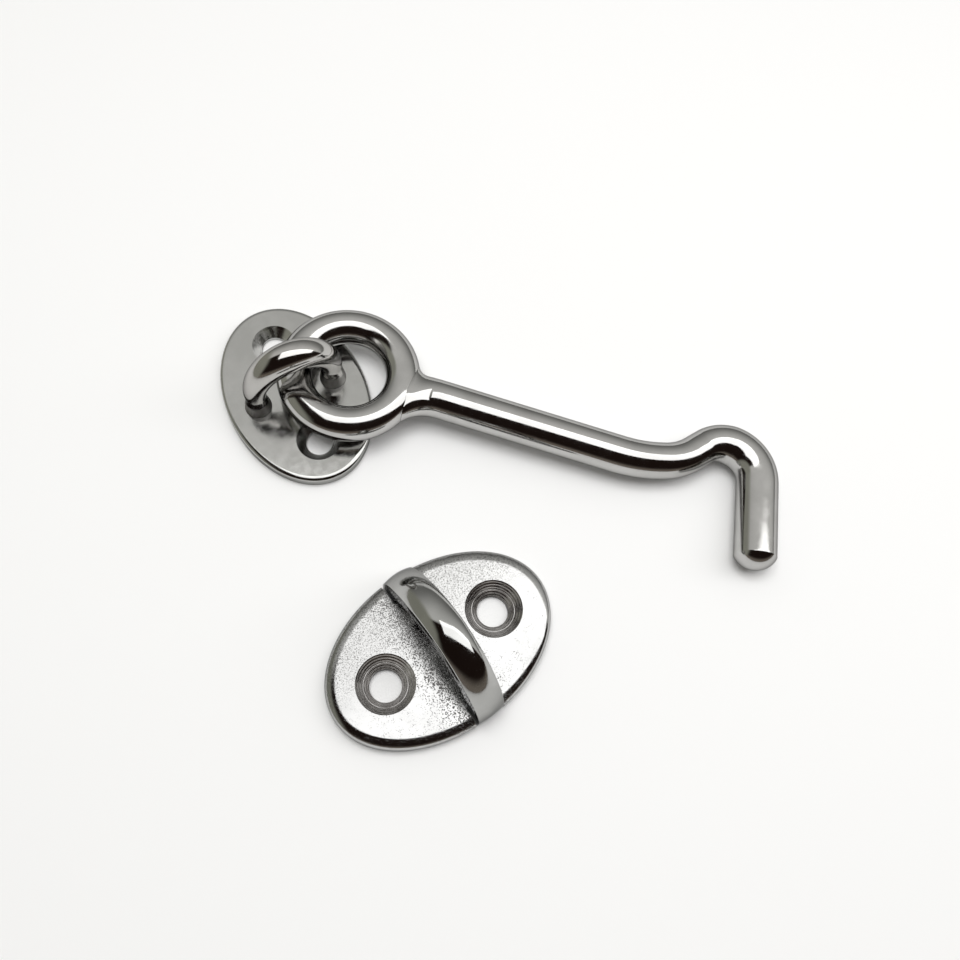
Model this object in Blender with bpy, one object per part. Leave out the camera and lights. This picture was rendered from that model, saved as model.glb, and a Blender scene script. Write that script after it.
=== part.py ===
"""Hook and eye latch in polished stainless steel.

One half is an oval plate with a riveted staple, and a hook whose closed eye hangs on that staple. The other half
is a loose oval catch plate with an arched bridge that takes the hook's tip. Both halves lie on their backs.

Metres, with +Z off the backs of the plates. The hook plate's back is centred on the origin and its long axis is Y.
The hook rests on the table with its crank, so its eye and bar lie in one slightly sloping plane.
"""

import math

import bmesh
import bpy
from mathutils import Matrix, Vector

# Clearances
GAP = 0.0003            # between neighbouring pieces, and all round a riveted or seated joint
TABLE_GAP = 0.00004     # between the hook's lowest point and the table
RIDE_GAP = 0.00015      # between the hook's rods and the face of the hook plate

# Hook plate: stamped oval with two countersunk screw holes
PLATE_WIDTH = 0.0220
PLATE_LENGTH = 0.0314
PLATE_THICKNESS = 0.0020
PLATE_EDGE_ROUND = 0.0006
BACK_EDGE_BREAK = 0.0002
SCREW_SPACING = 0.0179
SCREW_HOLE_RADIUS = 0.00205
SINK_RADIUS = 0.00345
SINK_DEPTH = 0.0014

# Staple: a bow with necked legs, flared feet and tenons riveted over at the plate's back
STAPLE_ROD_RADIUS = 0.00234     # at the top of the bow
STAPLE_LEG_RADIUS = 0.00154     # where the bow starts
STAPLE_SIDE_PLAY = 0.00179      # between the eye's rod and either leg
STAPLE_HEAD_PLAY = 0.00270      # between the eye's rod and the top of the bow
STAPLE_SHOULDER = 0.0037        # height of the straight legs above the plate
STAPLE_SQUARENESS = 2.05        # 2 is an ellipse, more is squarer
NECK_RADIUS = 0.00150
NECK_HEIGHT = 0.0012
FOOT_RADIUS = 0.0022
FOOT_RIM = 0.0003
TENON_RADIUS = 0.0014
RIVET_RADIUS = 0.0024
RIVET_DEPTH = 0.0008

# Eye of the hook
EYE_RADIUS = 0.00842
EYE_ROD_RADIUS = 0.00272
EYE_ROD_SWELL = 0.00020     # the rod is this much thicker on one side of the eye and thinner on the other
EYE_SWELL_ANGLE = -142.0    # degrees from the sloping plane's X to the thick side
EYE_SLIP_X = -0.00024       # where the photograph shows the eye lying in the staple
EYE_SLIP_Y = -0.00218

# Bar of the hook, in its own plane
SHANK_ANGLE = -42.1         # degrees from the sloping plane's X
SHANK_RADIUS = 0.00305
SHANK_OFFSET = 0.00047      # of its centre line from the eye's centre
SHANK_LENGTH = 0.04357      # from the eye's centre to the first bend
SWEEP_RADIUS = 0.02425
SWEEP_ANGLE = 18.9
CRANK_RADIUS = 0.0095
CRANK_ANGLE = 29.0
RISE_LENGTH = 0.00227
CRANK_ROD_RADIUS = 0.0028
CROWN_RADIUS = 0.00518
CROWN_ANGLE = 51.6
CROWN_ROD_RADIUS = 0.00318
DROP_RADIUS = 0.00569
DROP_ANGLE = 78.9
TIP_LENGTH = 0.0126
TIP_ROD_RADIUS = 0.00328
TIP_DOME = 0.0020
UPPER_FILLET = 0.0020       # between eye and shank
LOWER_FILLET = 0.0060

# Catch plate: thicker oval casting with stepped countersinks and a slot in each long side
CATCH_X = 0.0030
CATCH_Y = -0.0460
CATCH_ANGLE = 9.1           # degrees from X to the catch plate's long axis
CATCH_LENGTH = 0.0362
CATCH_WIDTH = 0.0245
CATCH_THICKNESS = 0.0030
CATCH_EDGE_ROUND = 0.0011
CATCH_SCREW_SPACING = 0.0190
CATCH_HOLE_RADIUS = 0.00235
CATCH_SINK_RADIUS = 0.00431
CATCH_SINK_STEP = 0.00115
CATCH_SINK_LAND = 0.00012
CATCH_SINK_FLOOR = 0.00200

# Bridge of the catch: a D-section arch let into the slots
BRIDGE_SHIFT = 0.00025      # of its feet along the catch plate's long axis
BRIDGE_CROWN_SHIFT = 0.0004
BRIDGE_FOOT_WIDTH = 0.0043
BRIDGE_CROWN_WIDTH = 0.0048
BRIDGE_LEG_THICKNESS = 0.0030
BRIDGE_CROWN_THICKNESS = 0.0028
BRIDGE_FOOT_DOME = 0.0002
BRIDGE_CROWN_DOME = 0.00105
TIP_HEADROOM = 0.00165      # between the hook's tip and the underside of the bridge
BRIDGE_SQUARENESS = 1.78

# Facets
OVAL_SEGMENTS = 88
HOLE_SEGMENTS = 40
EYE_SEGMENTS = 72
ROD_SEGMENTS = 24
STAPLE_ROD_SEGMENTS = 20
BOW_STATIONS = 30
BRIDGE_STATIONS = 34
DOME_SEGMENTS = 6
ROUND_SEGMENTS = 4
BEND_STEP = 9.0             # degrees of bend for each station
CUT_MARGIN = 0.001          # how far a cutter runs past the face it opens

# Sizes that follow
STAPLE_SPAN = EYE_ROD_RADIUS + EYE_ROD_SWELL + STAPLE_SIDE_PLAY + STAPLE_LEG_RADIUS
EYE_HEIGHT = PLATE_THICKNESS + RIDE_GAP + max(EYE_ROD_RADIUS + EYE_ROD_SWELL, SHANK_RADIUS)


def clear_scene():
    """Removes every object so that the build starts from nothing."""
    for thing in list(bpy.data.objects):
        bpy.data.objects.remove(thing, do_unlink=True)


def steel(name, tint, roughness):
    """Returns a plain metal material.

    name: the material's name. tint: its colour. roughness: how far it spreads a reflection.
    """
    material = bpy.data.materials.new(name)
    material.use_nodes = True
    shader = material.node_tree.nodes["Principled BSDF"]
    shader.inputs["Base Color"].default_value = (*tint, 1.0)
    shader.inputs["Metallic"].default_value = 1.0
    shader.inputs["Roughness"].default_value = roughness
    return material


def add_object(name, mesh_edit, material=None, location=(0, 0, 0), turn=(0, 0, 0), parent=None):
    """Turns an edited mesh into a smooth-shaded object.

    location and turn are in the parent's frame; turn is Euler XYZ in radians. Returns the object.
    """
    bmesh.ops.recalc_face_normals(mesh_edit, faces=mesh_edit.faces)
    mesh = bpy.data.meshes.new(name)
    mesh_edit.to_mesh(mesh)
    mesh_edit.free()
    for face in mesh.polygons:
        face.use_smooth = True
    if material is not None:
        mesh.materials.append(material)
    thing = bpy.data.objects.new(name, mesh)
    bpy.context.collection.objects.link(thing)
    thing.location = location
    thing.rotation_euler = turn
    if parent is not None:
        thing.parent = parent
    return thing


def add_cutter(name, mesh_edit, **placing):
    """Adds an object that only cuts others: it doesn't render and shows as wire."""
    cutter = add_object(name, mesh_edit, **placing)
    cutter.hide_render = True
    cutter.display_type = "WIRE"
    return cutter


def cut(target, cutter):
    """Takes the cutter away from the target with an exact Boolean modifier."""
    step = target.modifiers.new("cut_" + cutter.name, "BOOLEAN")
    step.operation = "DIFFERENCE"
    step.solver = "EXACT"
    step.object = cutter


def loft(sections, closed=False):
    """Skins a row of sections, each a loop of as many points, and caps the ends unless the row is closed."""
    edit = bmesh.new()
    loops = [[edit.verts.new(point) for point in section] for section in sections]
    pairs = list(zip(loops, loops[1:]))
    if closed:
        pairs.append((loops[-1], loops[0]))
    for first, second in pairs:
        for i in range(len(first)):
            j = (i + 1) % len(first)
            edit.faces.new((first[i], first[j], second[j], second[i]))
    if not closed:
        edit.faces.new(list(reversed(loops[0])))
        edit.faces.new(loops[-1])
    return edit


def revolve(profile, segments):
    """Spins a profile of (radius, height) pairs round Z into a closed solid."""
    edit = bmesh.new()
    points = [edit.verts.new((radius, 0.0, height)) for radius, height in profile]
    edges = [edit.edges.new(pair) for pair in zip(points, points[1:])]
    bmesh.ops.spin(edit, geom=points + edges, cent=(0, 0, 0), axis=(0, 0, 1), angle=2 * math.pi,
                   steps=segments, use_merge=True)
    bmesh.ops.remove_doubles(edit, verts=edit.verts, dist=1e-7)
    open_edges = [edge for edge in edit.edges if edge.is_boundary]
    bmesh.ops.holes_fill(edit, edges=open_edges, sides=0)
    return edit


def box(size, centre):
    """Returns a box of the given size about the given centre."""
    edit = bmesh.new()
    bmesh.ops.create_cube(edit, size=1.0, matrix=Matrix.Translation(centre) @ Matrix.Diagonal((*size, 1.0)))
    return edit


def oval_plate(length_x, length_y, thickness, edge_round):
    """Extrudes an oval, rounds its upper rim and breaks its lower one."""
    edit = bmesh.new()
    bmesh.ops.create_circle(edit, cap_ends=True, radius=0.5, segments=OVAL_SEGMENTS)
    bmesh.ops.scale(edit, vec=(length_x, length_y, 1.0), verts=edit.verts)
    grown = bmesh.ops.extrude_face_region(edit, geom=list(edit.faces))
    lifted = [item for item in grown["geom"] if isinstance(item, bmesh.types.BMVert)]
    bmesh.ops.translate(edit, vec=(0, 0, thickness), verts=lifted)
    for height, size, steps in ((thickness, edge_round, ROUND_SEGMENTS), (0.0, BACK_EDGE_BREAK, 1)):
        rim = [edge for edge in edit.edges if all(abs(vert.co.z - height) < 1e-9 for vert in edge.verts)]
        bmesh.ops.bevel(edit, geom=rim, offset=size, offset_type="OFFSET", segments=steps, profile=0.5,
                        affect="EDGES")
    return edit


def circle_section(centre, across, up, radius, segments, radius_up=None):
    """Returns a loop of points round a centre, in the plane of the unit vectors across and up."""
    radius_up = radius if radius_up is None else radius_up
    loop = []
    for i in range(segments):
        angle = 2 * math.pi * i / segments
        loop.append(centre + across * (radius * math.cos(angle)) + up * (radius_up * math.sin(angle)))
    return loop


def screw_sink():
    """Returns the cutter of a plain countersunk screw hole, with its mouth at the plate's face."""
    slope = (SINK_RADIUS - SCREW_HOLE_RADIUS) / SINK_DEPTH
    top = PLATE_THICKNESS
    profile = ((SCREW_HOLE_RADIUS, -CUT_MARGIN), (SCREW_HOLE_RADIUS, top - SINK_DEPTH),
               (SINK_RADIUS + slope * CUT_MARGIN, top + CUT_MARGIN))
    return revolve(profile, HOLE_SEGMENTS)


def catch_sink():
    """Returns the cutter of a stepped countersink: a cone, a narrow land, a second cone and a straight hole."""
    top = CATCH_THICKNESS
    cone = (CATCH_SINK_RADIUS - CATCH_HOLE_RADIUS - CATCH_SINK_LAND) / CATCH_SINK_FLOOR
    step_radius = CATCH_SINK_RADIUS - cone * CATCH_SINK_STEP
    profile = ((CATCH_HOLE_RADIUS, -CUT_MARGIN), (CATCH_HOLE_RADIUS, top - CATCH_SINK_FLOOR),
               (step_radius - CATCH_SINK_LAND, top - CATCH_SINK_STEP), (step_radius, top - CATCH_SINK_STEP),
               (CATCH_SINK_RADIUS + cone * CUT_MARGIN, top + CUT_MARGIN))
    return revolve(profile, HOLE_SEGMENTS)


def tenon_socket():
    """Returns the cutter for one tenon: its hole through the plate and the sink for its riveted end."""
    hole = TENON_RADIUS + GAP
    sink = RIVET_RADIUS + GAP
    slope = (sink - hole) / RIVET_DEPTH
    profile = ((sink + slope * CUT_MARGIN, -CUT_MARGIN), (hole, RIVET_DEPTH),
               (hole, PLATE_THICKNESS + CUT_MARGIN))
    return revolve(profile, HOLE_SEGMENTS)


class EyeRod:
    """The eye's rod: a ring in the sloping plane whose thickness swells gently towards one side."""

    def __init__(self, extra=0.0):
        """extra: thickness added all round, for a cutter."""
        self.extra = extra

    def radius_at(self, angle):
        """Returns the rod's radius where the eye's centre line is at an angle from the plane's X."""
        return EYE_ROD_RADIUS + EYE_ROD_SWELL * math.cos(angle - math.radians(EYE_SWELL_ANGLE)) + self.extra

    def solid(self):
        """Returns the ring about a centre at +X, so that the staple's crossing is at the origin."""
        sections = []
        for i in range(EYE_SEGMENTS):
            angle = 2 * math.pi * i / EYE_SEGMENTS
            out = Vector((math.cos(angle), math.sin(angle), 0.0))
            centre = Vector((EYE_RADIUS, 0.0, 0.0)) + out * EYE_RADIUS
            sections.append(circle_section(centre, out, Vector((0, 0, 1)), self.radius_at(angle), ROD_SEGMENTS))
        return loft(sections, closed=True)


class BarPath:
    """Walks the bar's centre line in its own plane: straight runs and bends, with a rod radius at each end."""

    def __init__(self, start, radius):
        """start: distance from the eye's centre along the shank. radius: the rod's radius there."""
        self.place = Vector((start, SHANK_OFFSET, 0.0))
        self.heading = 0.0
        self.stations = [(self.place.copy(), 0.0, radius)]

    def run(self, length, radius, steps=1):
        """Goes straight on, reaching the given radius at its end."""
        begun, first = self.place.copy(), self.stations[-1][2]
        way = Vector((math.cos(self.heading), math.sin(self.heading), 0.0))
        for i in range(1, steps + 1):
            share = i / steps
            self.stations.append((begun + way * (length * share), self.heading, first + (radius - first) * share))
        self.place = begun + way * length

    def bend(self, bend_radius, degrees, radius):
        """Turns left for positive degrees and right for negative ones, reaching the given rod radius."""
        side = math.copysign(1.0, degrees)
        left = Vector((-math.sin(self.heading), math.cos(self.heading), 0.0))
        hub = self.place + left * (bend_radius * side)
        steps = max(2, math.ceil(abs(degrees) / BEND_STEP))
        begun, first = self.heading, self.stations[-1][2]
        for i in range(1, steps + 1):
            share = i / steps
            heading = begun + math.radians(degrees) * share
            outward = Vector((math.sin(heading), -math.cos(heading), 0.0)) * side
            self.stations.append((hub + outward * bend_radius, heading, first + (radius - first) * share))
        self.place, self.heading = self.stations[-1][0].copy(), begun + math.radians(degrees)


def neck_length():
    """Returns how far from the eye's centre the lower fillet runs out into the shank."""
    return fillet_hub(LOWER_FILLET, SHANK_RADIUS - SHANK_OFFSET)[0]


def fillet_hub(fillet, side):
    """Returns the centre of a fillet that touches the eye's outside and the shank's side.

    fillet: its radius. side: the distance from the eye's centre line across to that side of the shank.
    """
    rim = EYE_RADIUS + EyeRod().radius_at(math.radians(SHANK_ANGLE))
    across = side + fillet
    return math.sqrt((rim + fillet) ** 2 - across ** 2), across


def flare(station, fillet, side):
    """Returns the bar's half width to one side at a station, following the fillet down to the eye."""
    along, across = fillet_hub(fillet, side)
    rim = EYE_RADIUS + EyeRod().radius_at(math.radians(SHANK_ANGLE))
    touch = along * rim / (rim + fillet)
    back = min(max(along - station, 0.0), along - touch)
    return across - math.sqrt(max(fillet ** 2 - back ** 2, 0.0))


def neck_sections():
    """Returns the sections from inside the eye's rod out to the plain shank."""
    sections = []
    first, last = EYE_RADIUS, neck_length()
    low = EYE_ROD_RADIUS - GAP
    steps = 14
    for i in range(steps + 1):
        share = i / steps
        station = first + (last - first) * share
        upper = flare(station, UPPER_FILLET, SHANK_RADIUS + SHANK_OFFSET)
        lower = flare(station, LOWER_FILLET, SHANK_RADIUS - SHANK_OFFSET)
        height = low + (SHANK_RADIUS - low) * share * share * (3 - 2 * share)
        centre = Vector((station, (upper - lower) / 2, 0.0))
        sections.append(circle_section(centre, Vector((0, 1, 0)), Vector((0, 0, 1)), (upper + lower) / 2,
                                       ROD_SEGMENTS, height))
    return sections


def bar_path():
    """Returns the bar's centre line from the end of the neck to the start of the tip's dome."""
    path = BarPath(neck_length(), SHANK_RADIUS)
    path.run(SHANK_LENGTH - neck_length(), SHANK_RADIUS, 3)
    path.bend(SWEEP_RADIUS, SWEEP_ANGLE, (SHANK_RADIUS + CRANK_ROD_RADIUS) / 2)
    path.bend(CRANK_RADIUS, CRANK_ANGLE, CRANK_ROD_RADIUS)
    path.run(RISE_LENGTH, CRANK_ROD_RADIUS)
    path.bend(CROWN_RADIUS, -CROWN_ANGLE, CROWN_ROD_RADIUS)
    path.bend(DROP_RADIUS, -DROP_ANGLE, TIP_ROD_RADIUS)
    path.run(TIP_LENGTH, TIP_ROD_RADIUS)
    return path


def bar_solid():
    """Skins the neck, the shank, the bends, the tip and its domed end in one piece."""
    path = bar_path()
    sections = neck_sections()
    for place, heading, radius in path.stations[1:]:
        across = Vector((-math.sin(heading), math.cos(heading), 0.0))
        sections.append(circle_section(place, across, Vector((0, 0, 1)), radius, ROD_SEGMENTS))
    end, heading, radius = path.stations[-1]
    way = Vector((math.cos(heading), math.sin(heading), 0.0))
    across = Vector((-way.y, way.x, 0.0))
    cap_radius = (radius ** 2 + TIP_DOME ** 2) / (2 * TIP_DOME)
    rim_angle = math.asin(radius / cap_radius)
    for i in range(1, DOME_SEGMENTS):
        angle = rim_angle * (1 - i / DOME_SEGMENTS)
        rise = cap_radius * (math.cos(angle) - math.cos(rim_angle))
        sections.append(circle_section(end + way * rise, across, Vector((0, 0, 1)),
                                       cap_radius * math.sin(angle), ROD_SEGMENTS))
    return loft(sections)


def slope_sine():
    """Returns the sine of the slope that lowers the bar until its lowest point is just off the table."""
    turn = math.radians(SHANK_ANGLE)
    steepest = math.inf
    for place, _, radius in bar_path().stations:
        reach = place.x * math.cos(turn) - place.y * math.sin(turn)
        steepest = min(steepest, (EYE_HEIGHT - radius - TABLE_GAP) / reach)
    return steepest


def crossing_height():
    """Returns the height of the eye's centre line where it passes through the staple."""
    return EYE_HEIGHT + EYE_RADIUS * slope_sine()


def staple_top():
    """Returns the height of the staple's centre line at the top of its bow."""
    return crossing_height() + EYE_ROD_RADIUS + EYE_ROD_SWELL + STAPLE_HEAD_PLAY + STAPLE_ROD_RADIUS


def bow_power(value, power):
    """Returns a signed power, for a bow squarer than an ellipse."""
    return math.copysign(abs(value) ** power, value)


def staple_solid():
    """Skins the staple from one riveted tenon end over the bow to the other."""
    spring = PLATE_THICKNESS + STAPLE_SHOULDER
    foot = PLATE_THICKNESS + GAP
    neck = foot + NECK_HEIGHT
    leg = [(0.0, RIVET_RADIUS), (RIVET_DEPTH, TENON_RADIUS), (foot, TENON_RADIUS), (foot, FOOT_RADIUS),
           (foot + FOOT_RIM, FOOT_RADIUS), ((foot + neck) / 2, (FOOT_RADIUS + 2 * NECK_RADIUS) / 3),
           (neck, NECK_RADIUS), ((neck + spring) / 2, (NECK_RADIUS + STAPLE_LEG_RADIUS) / 2)]
    stations = [(Vector((-STAPLE_SPAN, 0, height)), Vector((-1, 0, 0)), radius) for height, radius in leg]
    rise = staple_top() - spring
    points = []
    for i in range(BOW_STATIONS + 1):
        angle = math.pi * i / BOW_STATIONS
        points.append(Vector((-STAPLE_SPAN * bow_power(math.cos(angle), 2 / STAPLE_SQUARENESS), 0,
                              spring + rise * bow_power(math.sin(angle), 2 / STAPLE_SQUARENESS))))
    for i, point in enumerate(points):
        ahead, behind = points[min(i + 1, BOW_STATIONS)], points[max(i - 1, 0)]
        way = (ahead - behind).normalized() if 0 < i < BOW_STATIONS else Vector((0, 0, 1 if i == 0 else -1))
        swell = (point.z - spring) / rise
        radius = STAPLE_LEG_RADIUS + (STAPLE_ROD_RADIUS - STAPLE_LEG_RADIUS) * swell
        stations.append((point, Vector((-way.z, 0, way.x)), radius))
    stations += [(Vector((STAPLE_SPAN, 0, height)), Vector((1, 0, 0)), radius) for height, radius in reversed(leg)]
    return loft([circle_section(centre, across, Vector((0, 1, 0)), radius, STAPLE_ROD_SEGMENTS)
                 for centre, across, radius in stations])


def bridge_solid():
    """Skins the bridge's D-section along its arch, with straight feet down into the plate's slots."""
    spring = CATCH_THICKNESS
    half_span = CATCH_WIDTH / 2 - BRIDGE_FOOT_DOME
    crest = CATCH_THICKNESS + 2 * TIP_ROD_RADIUS + TIP_HEADROOM + BRIDGE_CROWN_THICKNESS
    rise = crest - spring
    course = [(Vector((-half_span, BACK_EDGE_BREAK)), 0.0)]
    for i in range(BRIDGE_STATIONS + 1):
        angle = math.pi * i / BRIDGE_STATIONS
        point = Vector((-half_span * bow_power(math.cos(angle), 2 / BRIDGE_SQUARENESS),
                        spring + rise * bow_power(math.sin(angle), 2 / BRIDGE_SQUARENESS)))
        course.append((point, (point.y - spring) / rise))
    course.append((Vector((half_span, BACK_EDGE_BREAK)), 0.0))
    sections = []
    for i, (point, share) in enumerate(course):
        before, after = course[max(i - 1, 0)][0], course[min(i + 1, len(course) - 1)][0]
        way = (after - before).normalized()
        if i <= 1:
            way = Vector((0.0, 1.0))
        if i >= len(course) - 2:
            way = Vector((0.0, -1.0))
        outward = Vector((-way.y, way.x))
        width = BRIDGE_FOOT_WIDTH + (BRIDGE_CROWN_WIDTH - BRIDGE_FOOT_WIDTH) * share
        dome = BRIDGE_FOOT_DOME + (BRIDGE_CROWN_DOME - BRIDGE_FOOT_DOME) * share
        depth = BRIDGE_LEG_THICKNESS + (BRIDGE_CROWN_THICKNESS - BRIDGE_LEG_THICKNESS) * share
        shift = BRIDGE_SHIFT + (BRIDGE_CROWN_SHIFT - BRIDGE_SHIFT) * share
        loop = [(-width / 2, -depth), (width / 2, -depth)]
        for k in range(2 * DOME_SEGMENTS + 1):
            angle = math.pi * k / (2 * DOME_SEGMENTS)
            loop.append((width / 2 * math.cos(angle), dome * math.sin(angle)))
        sections.append([Vector((shift + across, point.x + outward.x * out, point.y + outward.y * out))
                         for across, out in loop])
    return loft(sections)


def build():
    """Builds every piece and places it."""
    clear_scene()
    rolled = steel("rolled_plate", (0.56, 0.55, 0.54), 0.22)
    bright = steel("bright_rod", (0.60, 0.59, 0.58), 0.12)
    blasted = steel("blasted_casting", (0.66, 0.65, 0.65), 0.32)
    polished = steel("polished_arch", (0.52, 0.52, 0.52), 0.14)

    plate = add_object("hook_plate", oval_plate(PLATE_WIDTH, PLATE_LENGTH, PLATE_THICKNESS, PLATE_EDGE_ROUND),
                       rolled)
    for side, name in ((1, "upper"), (-1, "lower")):
        cut(plate, add_cutter("sink_" + name, screw_sink(), location=(0, side * SCREW_SPACING / 2, 0)))
    for side, name in ((1, "right"), (-1, "left")):
        cut(plate, add_cutter("socket_" + name, tenon_socket(), location=(side * STAPLE_SPAN, 0, 0)))
    add_object("hook_staple", staple_solid(), bright)

    slope = math.asin(slope_sine())
    crossing = (EYE_SLIP_X, EYE_SLIP_Y, crossing_height())
    eye = add_object("eye_ring", EyeRod().solid(), bright, location=crossing, turn=(0, slope, 0))
    bar = add_object("hook_bar", bar_solid(), bright, location=(EYE_RADIUS, 0, 0),
                     turn=(0, 0, math.radians(SHANK_ANGLE)), parent=eye)
    cut(bar, add_cutter("saddle", EyeRod(GAP).solid(), parent=eye))

    catch = add_object("catch_plate", oval_plate(CATCH_LENGTH, CATCH_WIDTH, CATCH_THICKNESS, CATCH_EDGE_ROUND),
                       blasted, location=(CATCH_X, CATCH_Y, 0), turn=(0, 0, math.radians(CATCH_ANGLE)))
    for side, name in ((1, "right"), (-1, "left")):
        cut(catch, add_cutter("catch_sink_" + name, catch_sink(), parent=catch,
                              location=(side * CATCH_SCREW_SPACING / 2, 0, 0)))
    slot_width = BRIDGE_FOOT_WIDTH + 2 * GAP
    slot_depth = BRIDGE_LEG_THICKNESS + BRIDGE_FOOT_DOME + GAP
    for side, name in ((1, "upper"), (-1, "lower")):
        size = (slot_width, slot_depth + CUT_MARGIN, CATCH_THICKNESS + 2 * CUT_MARGIN)
        centre = (BRIDGE_SHIFT, side * (CATCH_WIDTH / 2 - slot_depth + size[1] / 2), CATCH_THICKNESS / 2)
        cut(catch, add_cutter("slot_" + name, box(size, centre), parent=catch))
    add_object("catch_bridge", bridge_solid(), polished, parent=catch)


build()
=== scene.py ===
"""Hook and eye latch in polished stainless steel, dressed and lit on a pale table.

Each piece is a surface worked out with numpy: a plate is a rim profile carried round an oval, a rod is a round
section carried along a centre line, and the bridge is a D-section carried along an arch. Lengths are in metres,
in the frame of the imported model.
"""

import logging
import math
from dataclasses import dataclass, field
from enum import Enum

import bpy
import numpy as np
from mathutils import Matrix, Vector


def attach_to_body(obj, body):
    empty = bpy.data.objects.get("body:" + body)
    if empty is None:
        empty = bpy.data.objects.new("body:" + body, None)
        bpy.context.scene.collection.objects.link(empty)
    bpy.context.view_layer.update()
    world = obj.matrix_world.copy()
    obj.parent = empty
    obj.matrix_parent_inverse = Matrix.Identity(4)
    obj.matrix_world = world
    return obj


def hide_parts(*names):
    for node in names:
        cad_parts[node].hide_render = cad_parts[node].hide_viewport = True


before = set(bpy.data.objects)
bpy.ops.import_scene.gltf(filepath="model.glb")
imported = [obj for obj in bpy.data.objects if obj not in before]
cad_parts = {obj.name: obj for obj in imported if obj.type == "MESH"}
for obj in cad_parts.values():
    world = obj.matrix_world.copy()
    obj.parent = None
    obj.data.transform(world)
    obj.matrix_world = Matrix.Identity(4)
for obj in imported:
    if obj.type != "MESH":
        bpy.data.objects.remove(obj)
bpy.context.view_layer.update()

LOG = logging.getLogger("latch")
MM = 0.001
FULL_TURN = 2.0 * math.pi
PLATE_CREASE = 32.0
ROD_CREASE = 50.0
HAIR = 0.01 * MM

Array = np.ndarray
Pair = tuple[float, float]
Triple = tuple[float, float, float]
Colour = Triple
Piece = bpy.types.Object
Socket = bpy.types.NodeSocket


class Slot(Enum):
    """Names of four material slots."""

    ROLLED = "rolled_plate"
    BRIGHT = "bright_rod"
    BLASTED = "blasted_casting"
    POLISHED = "polished_arch"


class Body(Enum):
    """The bodies that pieces ride on."""

    BASE = "hook_base"
    EYE = "eye"
    BAR = "bar"
    CATCH = "catch"


def unit(vectors: Array) -> Array:
    """Scales rows of vectors to length one: each is divided by its length."""
    return vectors / np.linalg.norm(vectors, axis=-1, keepdims=True)


def ease(values: Array, ends: Pair) -> Array:
    """Maps values between two ends to 0..1 by 3s^2 - 2s^3, clipped to that range."""
    share = np.clip((values - ends[0]) / (ends[1] - ends[0]), 0.0, 1.0)
    return share * share * (3.0 - 2.0 * share)


def blend(start: Array | float, end: Array | float, share: Array) -> Array:
    """Goes from start to end by a share: start + (end - start) * share."""
    return start + (end - start) * share


def signed_power(values: Array, power: float) -> Array:
    """Raises sizes to a power and keeps their signs, which makes an ellipse squarer."""
    return np.sign(values) * np.abs(values) ** power


def circle(count: int) -> Array:
    """Returns evenly spaced angles round a full turn, the end left out."""
    return np.linspace(0.0, FULL_TURN, count, endpoint=False)


def arch(half_span: float, spring: float, top: float, squareness: float, stations: int) -> tuple[Array, Array, Array]:
    """Works out a squared half ellipse: -span * cos(a)^(2/n) across, and sin(a)^(2/n) of the way up.

    Args:
        half_span: Half its span.
        spring: Height of its ends.
        top: Height of its top.
        squareness: The power n: 2 is an ellipse, and less is more pointed.
        stations: Number of places along it.

    Returns:
        Places across, heights, and shares of the rise.
    """
    angle = np.linspace(0.0, math.pi, stations)
    power = 2.0 / squareness
    rise = signed_power(np.sin(angle), power)
    return -half_span * signed_power(np.cos(angle), power), blend(spring, top, rise), rise


@dataclass(frozen=True)
class Placing:
    """A turned and moved frame: a point is origin + x * right + y * ahead + z * up."""

    origin: Array
    right: Array
    ahead: Array
    up: Array

    @classmethod
    def flat(cls, x: float, y: float, degrees: float) -> "Placing":
        """Stands a frame on the table at x, y, its X turned by some degrees from the model's X."""
        turn = math.radians(degrees)
        return cls(np.array([x, y, 0.0]), np.array([math.cos(turn), math.sin(turn), 0.0]),
                   np.array([-math.sin(turn), math.cos(turn), 0.0]), np.array([0.0, 0.0, 1.0]))

    def turned(self, degrees: float) -> "Placing":
        """Turns the frame about its own up.

        Args:
            degrees: Turn, counter-clockwise.

        Returns:
            The turned frame at the same origin.
        """
        turn = math.radians(degrees)
        right = self.right * math.cos(turn) + self.ahead * math.sin(turn)
        ahead = self.ahead * math.cos(turn) - self.right * math.sin(turn)
        return Placing(self.origin, right, ahead, self.up)

    def shifted(self, x: float) -> "Placing":
        """Moves the frame along its own X by x."""
        return Placing(self.origin + self.right * x, self.right, self.ahead, self.up)

    def carry(self, points: Array) -> Array:
        """Takes rows of x, y, z from this frame to the model's frame."""
        return self.origin + points @ np.stack([self.right, self.ahead, self.up])


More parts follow.
